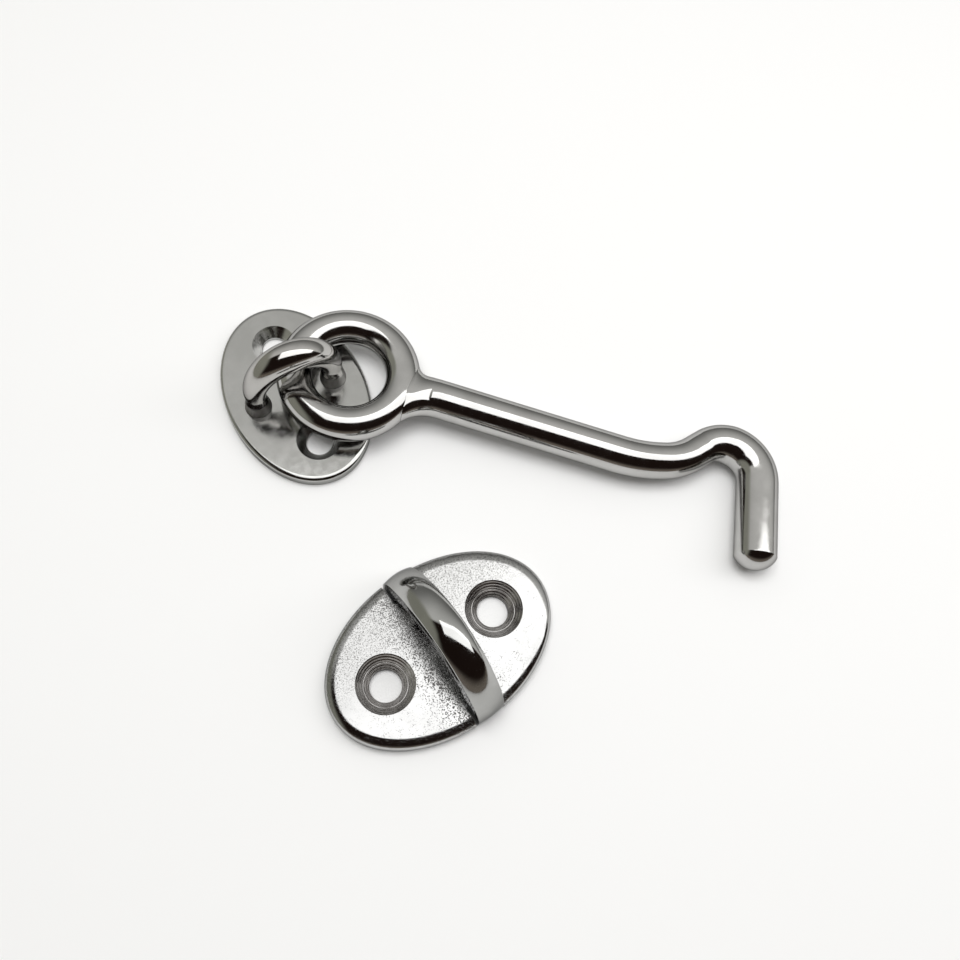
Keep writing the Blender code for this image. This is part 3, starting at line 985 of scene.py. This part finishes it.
    def neck(self) -> tuple[Array, Array]:
        """Works out the neck and the hollow of its saddle.

        Returns:
            The saddle's rows from its middle outwards, and the neck's rows from the saddle to the shank.
        """
        angle = circle(self.segments)
        start = self.seam_stations(angle)
        share = np.linspace(0.0, 1.0, self.neck_rows)[:, None]
        station = blend(start[None], self.neck_end(), share)
        outside = self.neck_point(station, np.broadcast_to(angle, station.shape))
        edge = outside[0]
        grown = np.linspace(*self.saddle_reach, self.saddle_rows)[:, None, None]
        flat = blend(edge.mean(axis=0), edge, grown)
        tilt = np.arctan2(flat[..., 1], self.eye.radius)
        reach = self.eye.rod_radius(tilt + math.radians(self.angle)) + self.seam
        bulge = np.sqrt(np.maximum(reach ** 2 - flat[..., 2] ** 2, 0.0))
        plan = self.eye.radius + bulge
        hollow = np.stack([np.sqrt(np.maximum(plan ** 2 - flat[..., 1] ** 2, 0.0)), flat[..., 1], flat[..., 2]],
                          axis=-1)
        return hollow, outside

    def course(self) -> tuple[Array, Array, Array]:
        """Runs the centre line from the neck's end to the start of the tip's dome.

        Returns:
            Places in the bar's own plane, headings and rod radii.
        """
        lengths, turns = [self.shank_length - self.neck_end()], [0.0]
        radii = [self.shank_radius, self.shank_radius]
        for reach, degrees, radius in self.bends:
            lengths.append(reach * math.radians(abs(degrees)) if degrees else reach)
            turns.append(math.radians(degrees))
            radii.append(radius)
        lengths.append(self.tip_length)
        turns.append(0.0)
        radii.append(self.tip_radius)
        stops = np.concatenate([[0.0], np.cumsum(lengths)])
        station = np.linspace(0.0, stops[-1], int(stops[-1] / self.step) + 1)
        fine = np.linspace(0.0, stops[-1], self.fine_steps + 1)
        sums = np.concatenate([[0.0], np.cumsum(turns)])
        half = self.soften / 2
        samples = np.linspace(-half, half, self.soften_samples)
        heading = np.mean([np.interp(fine + shift, stops, sums) for shift in samples], axis=0)
        pace = fine[1] - fine[0]
        along = np.concatenate([[0.0], np.cumsum(np.cos((heading[1:] + heading[:-1]) / 2))]) * pace
        aside = np.concatenate([[0.0], np.cumsum(np.sin((heading[1:] + heading[:-1]) / 2))]) * pace
        places = np.stack([self.neck_end() + np.interp(station, fine, along),
                           self.offset + np.interp(station, fine, aside), np.zeros_like(station)], axis=-1)
        return places, np.interp(station, fine, heading), np.interp(station, stops, radii)

    def dome(self) -> tuple[Array, Array]:
        """Works out the tip's end: a small round at the rim, then a shallow ball.

        Returns:
            Distances past the end of the rod, and radii there, without the pole.
        """
        ball = (self.tip_radius ** 2 + self.tip_dome ** 2) / (2 * self.tip_dome)
        rim = math.asin(self.tip_radius / ball)
        corner = self.tip_round
        turn = np.linspace(0.0, math.pi / 2 - rim, self.round_rows)
        first = self.tip_radius - corner
        round_out = first + corner * np.cos(turn)
        round_up = corner * np.sin(turn) - corner
        angle = np.linspace(rim, 0.0, self.dome_rows)[1:-1]
        scale = round_out[-1] / (ball * math.sin(rim))
        cap_out = ball * scale * np.sin(angle)
        cap_up = ball * scale * (np.cos(angle) - math.cos(rim)) + round_up[-1]
        return np.concatenate([round_up, cap_up]), np.concatenate([round_out, cap_out])

    def build(self) -> None:
        """Builds and dresses the bar."""
        placing = self.eye.placing().turned(self.angle)
        hollow, neck = self.neck()
        places, heading, radius = self.course()
        way = np.stack([np.cos(heading), np.sin(heading), np.zeros_like(heading)], axis=-1)
        rise, out = self.dome()
        keep = slice(1, -int(self.tip_round / self.step) - 2)
        centres = np.concatenate([places[keep], places[-1] + way[-1] * rise[:, None]])
        ways = np.concatenate([way[keep], np.repeat(way[-1:], len(rise), axis=0)])
        radii = np.concatenate([radius[keep], out])
        across = np.stack([-ways[:, 1], ways[:, 0], np.zeros(len(ways))], axis=-1)
        up = np.broadcast_to(np.array([0.0, 0.0, 1.0]), centres.shape)
        rod = Rod(centres, across, up, radii, radii, self.segments).grid()
        shell = Shell()
        numbers = shell.add_points(placing.carry(np.concatenate([hollow, neck, rod])))
        shell.skin(numbers)
        shell.fan(numbers[0], placing.carry(hollow[0].mean(axis=0)), last=False)
        shell.fan(numbers[-1], placing.carry(places[-1] + way[-1] * (rise[-1] + self.pole_rise)), last=True)
        bar = shell.object("bent_bar")
        steel = Steel("bar_steel", light=(0.51, 0.505, 0.495), dark=(0.47, 0.465, 0.455), gloss=(0.07, 0.14))
        bar.data.materials.append(steel.material())
        crisp(bar, ROD_CREASE)
        attach(bar, Body.BAR, "hook_bar")


@dataclass
class CatchPlate:
    """The thicker oval plate with stepped countersinks and a slot in each long side for the bridge."""

    x: float = 3.0 * MM
    y: float = -46.0 * MM
    angle: float = 9.1
    length: float = 36.2 * MM
    width: float = 24.5 * MM
    thickness: float = 3.0 * MM
    edge_width: float = 1.8 * MM
    edge_height: float = 1.3 * MM
    screw_spacing: float = 19.0 * MM
    hole_radius: float = 2.35 * MM
    sink_radius: float = 4.31 * MM
    sink_step: float = 1.15 * MM
    sink_land: float = 0.06 * MM
    sink_floor: float = 2.0 * MM
    slot_width: float = 4.9 * MM
    slot_depth: float = 3.5 * MM
    slot_shift: float = 0.25 * MM
    pit_shift: float = -1.0 * MM
    margin: float = 1.0 * MM
    round_steps: int = 26

    def placing(self) -> Placing:
        """Returns the plate's frame, on the table."""
        return Placing.flat(self.x, self.y, self.angle)

    def sink(self) -> list[Pair]:
        """Works out the stepped countersink: a cone, a narrow land, a second cone and a straight hole.

        Returns:
            Radii and heights from the bottom up.
        """
        cone = (self.sink_radius - self.hole_radius - self.sink_land) / self.sink_floor
        step = self.sink_radius - cone * self.sink_step
        height = self.thickness - self.sink_step
        return [(self.hole_radius, -self.margin), (self.hole_radius, self.thickness - self.sink_floor),
                (step - self.sink_land, height), (step, height),
                (self.sink_radius + cone * self.margin, self.thickness + self.margin)]

    def slot(self, name: str, side: int) -> Piece:
        """Builds the box that opens one slot.

        Args:
            name: The cutter's name.
            side: 1 or -1, for the upper or the lower long side.

        Returns:
            The cutter.
        """
        inner = self.width / 2 - self.slot_depth
        outer = self.width / 2 + self.margin
        x = self.slot_shift + np.array([-0.5, 0.5, 0.5, -0.5]) * self.slot_width
        y = np.array([inner, inner, outer, outer]) * side
        plan = np.stack([x, y], axis=-1)[::side]
        heights = np.array([-self.margin, self.thickness + self.margin])
        grid = np.concatenate([np.broadcast_to(plan, (2, 4, 2)),
                               np.broadcast_to(heights[:, None, None], (2, 4, 1))], axis=-1)
        return closed(name, self.placing().carry(grid))

    def build(self) -> None:
        """Builds, cuts and dresses the plate."""
        placing = self.placing()
        plate = OvalPlate("cast_plate", self.length, self.width, self.thickness, self.edge_width,
                          self.edge_height, round_steps=self.round_steps).solid(placing)
        half = self.screw_spacing / 2
        carve(plate, [turned_cutter("sink_right", self.sink(), placing, half, 0.0),
                      turned_cutter("sink_left", self.sink(), placing, -half, 0.0),
                      self.slot("slot_upper", 1), self.slot("slot_lower", -1)])
        centres = placing.carry(np.array([[half, 0.0, 0.0], [-half, 0.0, 0.0]]))[:, :2]
        # The cast face's colour carries painted shade: dark pits crowded beside the bridge and a darker far half.
        face = CastSteel("cast_steel_painted_shade", light=(0.53, 0.53, 0.525), dark=(0.48, 0.48, 0.475), gloss=(0.08, 0.15),
                         centre=tuple(placing.shifted(self.pit_shift).origin[:2].tolist()), degrees=self.angle)
        # Painted shade: the countersinks' walls get a far darker steel colour than the face.
        wall = TurnedSteel("turned_steel_painted_shade", light=(0.42, 0.41, 0.40), dark=(0.22, 0.21, 0.20), gloss=(0.12, 0.22),
                           holes=tuple(map(tuple, centres.tolist())))
        dress_plate(plate, face, wall, centres, self.sink_radius, self.thickness)
        attach(plate, Body.CATCH, "catch_plate")


@dataclass
class Bridge:
    """The arch that takes the hook's tip: a D-section carried along a squared ellipse.

    Its crease line is y = -span * cos(a)^(2/n), z = spring + rise * sin(a)^(2/n). The section has an under side
    with rounded corners, two upright flanks and a dome, which is an arc of a circle.
    """

    plate: CatchPlate
    half_span: float = 12.05 * MM
    spring: float = 3.0 * MM
    crest: float = 14.01 * MM
    squareness: float = 1.78
    foot_width: float = 4.3 * MM
    crown_width: float = 4.8 * MM
    leg_thickness: float = 3.0 * MM
    crown_thickness: float = 2.8 * MM
    foot_dome: float = 0.2 * MM
    crown_dome: float = 1.05 * MM
    shift: float = 0.25 * MM
    crown_shift: float = 0.4 * MM
    foot: float = 0.2 * MM
    corner: float = 0.25 * MM
    stations: int = 200
    corner_rows: int = 6
    dome_rows: int = 41

    def section(self, width: Array, depth: Array, dome: Array) -> tuple[Array, Array]:
        """Works out the D-section at each station.

        Args:
            width: Widths along the arch.
            depth: Thicknesses below the crease line.
            dome: Rises of the dome above it.

        Returns:
            Distances across and outwards, one row for each station.
        """
        half = width[:, None] / 2
        turn = np.linspace(0.0, math.pi / 2, self.corner_rows)
        inward = self.corner * (1.0 - np.sin(turn))
        upward = self.corner * (1.0 - np.cos(turn))
        low = -depth[:, None]
        left = (-half + inward[::-1], low + upward[::-1])
        right = (half - inward, low + upward)
        ball = (half ** 2 + dome[:, None] ** 2) / (2.0 * dome[:, None])
        edge = np.arcsin(half / ball)
        lean = edge * np.linspace(1.0, -1.0, self.dome_rows)
        arc = (ball * np.sin(lean), ball * (np.cos(lean) - np.cos(edge)))
        across = np.concatenate([right[0], arc[0], left[0]], axis=1)
        out = np.concatenate([right[1], arc[1], left[1]], axis=1)
        return across, out

    def build(self) -> None:
        """Builds and dresses the bridge."""
        y, z, rise = arch(self.half_span, self.spring, self.crest, self.squareness, self.stations)
        y = np.concatenate([[-self.half_span], y, [self.half_span]])
        z = np.concatenate([[self.foot], z, [self.foot]])
        share = np.concatenate([[0.0], rise, [0.0]])
        course = np.stack([y, z], axis=-1)
        way = np.gradient(course, axis=0)
        way[:2] = (0.0, 1.0)
        way[-2:] = (0.0, -1.0)
        way = unit(way)
        outward = np.stack([-way[:, 1], way[:, 0]], axis=-1)
        across, out = self.section(blend(self.foot_width, self.crown_width, share),
                                   blend(self.leg_thickness, self.crown_thickness, share),
                                   blend(self.foot_dome, self.crown_dome, share))
        aside = blend(self.shift, self.crown_shift, share)
        plan = course[:, None, :] + outward[:, None, :] * out[..., None]
        grid = np.concatenate([(aside[:, None] + across)[..., None], plan], axis=-1)
        bridge = closed("arched_bridge", self.plate.placing().carry(grid))
        steel = Steel("arch_steel", light=(0.47, 0.47, 0.46), dark=(0.42, 0.42, 0.41), gloss=(0.05, 0.12),
                      wave_size=1.3 * MM, wave_height=8e-6)
        bridge.data.materials.append(steel.material())
        crisp(bridge, ROD_CREASE)
        attach(bridge, Body.CATCH, "catch_bridge")


@dataclass
class Tent:
    """What the steel mirrors: a half ball of plain tones round the table, which the camera doesn't see.

    A direction is told by its turn about a level axis, from the near horizon over the top to the far horizon, and
    by its share along that axis. The tones are dark cloth on the near side and a grey wall on the far side.
    """

    axis_degrees: float = -26.6
    radius: float = 0.8
    rings: int = 90
    spokes: int = 240
    cloth: Colour = (0.016, 0.010, 0.008)
    cloth_low: Colour = (0.22, 0.19, 0.16)
    low_turn: Pair = (24.0, 4.0)
    wall_top: Colour = (0.78, 0.775, 0.75)
    wall_low: Colour = (0.22, 0.22, 0.21)
    wall_turn: Pair = (96.0, 104.0)
    left_grey: Colour = (0.34, 0.34, 0.29)
    left_share: Pair = (-0.58, -0.80)

    def tones(self, direction: Array) -> Array:
        """Works out the tone in each direction, easing from tone to tone.

        Args:
            direction: Rows of directions of length one.

        Returns:
            Rows of linear colours.
        """
        axis = math.radians(self.axis_degrees)
        along = direction @ np.array([math.cos(axis), math.sin(axis), 0.0])
        near = direction @ np.array([math.sin(axis), -math.cos(axis), 0.0])
        turn = np.degrees(np.arctan2(direction[:, 2], near))[:, None]
        dark = blend(np.array(self.cloth), np.array(self.cloth_low), ease(turn, self.low_turn))
        wall = blend(np.array(self.wall_top), np.array(self.wall_low), ease(turn, (self.wall_turn[1], 180.0)))
        tone = blend(dark, wall, ease(turn, self.wall_turn))
        return blend(tone, np.array(self.left_grey), ease(along[:, None], self.left_share))

    def build(self) -> None:
        """Hangs the tent."""
        lift = np.linspace(0.0, math.pi / 2, self.rings, endpoint=False)[:, None, None]
        turn = circle(self.spokes)[None, :, None]
        grid = np.concatenate([np.cos(lift) * np.cos(turn), np.cos(lift) * np.sin(turn),
                               np.broadcast_to(np.sin(lift), (self.rings, self.spokes, 1))], axis=-1)
        shell = Shell()
        numbers = shell.add_points(grid * self.radius)
        shell.skin(numbers)
        shell.fan(numbers[-1], np.array([0.0, 0.0, self.radius]), last=True)
        tent = shell.object("tent")
        tones = self.tones(unit(shell.points + np.array([0.0, 0.0, 1e-9])))
        layer = tent.data.attributes.new("tone", "FLOAT_COLOR", "POINT")
        layer.data.foreach_set("color", np.column_stack([tones, np.ones(len(tones))]).ravel())
        graph = Graph("tent_tones")
        tone = graph.add("ShaderNodeAttribute", {"attribute_name": "tone"}).outputs["Color"]
        glow = graph.add("ShaderNodeEmission", None, Color=tone, Strength=1.0).outputs[0]
        graph.feed(graph.tree.nodes["Material Output"].inputs["Surface"], glow)
        graph.material.cycles.emission_sampling = "NONE"
        tent.data.materials.append(graph.material)
        tent.visible_camera = False
        tent.visible_shadow = False
        tent.visible_transmission = False


@dataclass
class Studio:
    """The pale table, its lamps and the camera."""

    floor_size: float = 3.0
    floor_drop: float = 0.05 * MM
    floor_white: Colour = (0.93, 0.93, 0.925)
    floor_rough: float = 0.9
    floor_sheen: float = 0.1
    floor_share: float = 0.05
    fade: Pair = (0.15, 0.8)
    fill: float = 0.2
    axis_degrees: float = -24.5
    box_height: float = 0.35
    box_span: Pair = (-0.28, 2.3)
    box_strip: Pair = (-0.33, 0.27)
    box_power: float = 1.23
    window_place: Triple = (-0.06, 0.06, 0.60)
    window_size: Pair = (0.30, 0.30)
    window_power: float = 1.55
    eye_place: Triple = (-13.79393904 * MM, -63.38015317 * MM, 134.94975019 * MM)
    eye_right: Triple = (0.88948165, -0.44653981, 0.09708032)
    eye_up: Triple = (0.39136127, 0.85406393, 0.34265312)
    eye_back: Triple = (-0.23592106, -0.26679018, 0.93443258)
    lens: float = 34.4013
    sensor: float = 36.0
    near_clip: float = 0.01

    def floor(self) -> None:
        """Lays the table top, which turns to white for the camera as it runs away from the part."""
        half = self.floor_size / 2
        corners = np.array([[-half, -half], [half, -half], [half, half], [-half, half]])
        shell = Shell()
        numbers = shell.add_points(np.column_stack([corners, np.full(4, -self.floor_drop)]))
        shell.lid(numbers, last=True)
        top = shell.object("table_top")
        graph = Graph("table_white")
        graph.shader.inputs["Base Color"].default_value = (*self.floor_white, 1.0)
        graph.shader.inputs["Roughness"].default_value = self.floor_rough
        graph.shader.inputs["Specular IOR Level"].default_value = self.floor_sheen
        path = graph.add("ShaderNodeLightPath").outputs
        seen = graph.math("MAXIMUM", path["Is Camera Ray"], path["Is Glossy Ray"])
        seen = graph.math("MAXIMUM", seen, path["Is Transmission Ray"])
        near = graph.math("MULTIPLY", seen, self.floor_share)
        where = graph.add("ShaderNodeTexCoord").outputs["Object"]
        away = graph.add("ShaderNodeVectorMath", {"operation": "LENGTH"}, i0=where).outputs["Value"]
        far = graph.math("MULTIPLY", path["Is Camera Ray"], graph.span(away, *self.fade, 0.0, 1.0))
        white = graph.add("ShaderNodeEmission", None, Color=(1.0, 1.0, 1.0, 1.0), Strength=1.0).outputs[0]
        blend = graph.add("ShaderNodeMixShader", None, i0=graph.math("MAXIMUM", near, far),
                          i1=graph.shader.outputs[0], i2=white)
        graph.feed(graph.tree.nodes["Material Output"].inputs["Surface"], blend.outputs[0])
        top.data.materials.append(graph.material)

    def lamp(self, name: str, size: Pair, power: float, mirrored: bool) -> Piece:
        """Adds a rectangular lamp that the camera doesn't see.

        Args:
            name: The lamp's name.
            size: Its sides.
            power: Its power in watts.
            mirrored: Whether the steel mirrors it.

        Returns:
            The lamp, still to be placed and turned.
        """
        light = bpy.data.lights.new(name, "AREA")
        light.shape = "RECTANGLE"
        light.size, light.size_y = size
        light.energy = power
        holder = bpy.data.objects.new(name, light)
        holder.visible_camera = False
        holder.visible_glossy = mirrored
        bpy.context.scene.collection.objects.link(holder)
        return holder

    def window(self) -> None:
        """Adds the broad soft light from the far side that throws the shadows towards the camera."""
        lamp = self.lamp("window", self.window_size, self.window_power, mirrored=False)
        lamp.location = self.window_place
        lamp.rotation_euler = Vector(self.window_place).to_track_quat("Z", "Y").to_euler()

    def softbox(self) -> None:
        """Hangs the lamp level above the table, long side along the tube's axis."""
        axis = math.radians(self.axis_degrees)
        along = np.array([math.cos(axis), math.sin(axis)])
        aside = np.array([-math.sin(axis), math.cos(axis)])
        plan = self.box_height * (along * sum(self.box_span) / 2 + aside * sum(self.box_strip) / 2)
        size = (self.box_height * (self.box_span[1] - self.box_span[0]),
                self.box_height * (self.box_strip[1] - self.box_strip[0]))
        lamp = self.lamp("softbox", size, self.box_power, mirrored=True)
        lamp.location = (*plan.tolist(), self.box_height)
        lamp.rotation_euler = (0.0, 0.0, axis)

    def surroundings(self) -> None:
        """Makes the room white to the camera and to mirrored rays, and plain soft light to the rest."""
        world = bpy.data.worlds.new("white_room")
        bpy.context.scene.world = world
        world.use_nodes = True
        tree = world.node_tree
        back = tree.nodes["Background"]
        back.inputs["Color"].default_value = (1.0, 1.0, 1.0, 1.0)
        path = tree.nodes.new("ShaderNodeLightPath")
        seen = path.outputs["Is Camera Ray"]
        for name in ("Is Glossy Ray", "Is Transmission Ray"):
            either = tree.nodes.new("ShaderNodeMath")
            either.operation = "MAXIMUM"
            tree.links.new(seen, either.inputs[0])
            tree.links.new(path.outputs[name], either.inputs[1])
            seen = either.outputs[0]
        level = tree.nodes.new("ShaderNodeMapRange")
        level.inputs["To Min"].default_value = self.fill
        tree.links.new(seen, level.inputs["Value"])
        tree.links.new(level.outputs[0], back.inputs["Strength"])

    def camera(self) -> None:
        """Stands the camera where the photograph was taken from."""
        lens = bpy.data.cameras.new("camera")
        lens.lens = self.lens
        lens.sensor_width = self.sensor
        lens.sensor_fit = "HORIZONTAL"
        lens.clip_start = self.near_clip
        holder = bpy.data.objects.new("camera", lens)
        placed = np.eye(4)
        placed[:3, :3] = np.stack([self.eye_right, self.eye_up, self.eye_back], axis=-1)
        placed[:3, 3] = self.eye_place
        holder.matrix_world = Matrix(placed.tolist())
        bpy.context.scene.collection.objects.link(holder)
        bpy.context.scene.camera = holder

    def build(self) -> None:
        """Sets up table, light, surroundings and camera."""
        self.floor()
        Tent().build()
        self.softbox()
        self.window()
        self.surroundings()
        self.camera()
        bpy.context.scene.view_settings.view_transform = "Standard"


def main() -> None:
    """Builds the latch piece by piece, and the studio round it."""
    logging.basicConfig(level=logging.INFO, format="%(name)s %(message)s")
    eye, catch = EyeRing(), CatchPlate()
    for part in (HookPlate(), Staple(), eye, HookBar(eye), catch, Bridge(catch), Studio()):
        part.build()
        LOG.info("%s is done", type(part).__name__)


if __name__ == "__main__":
    main()
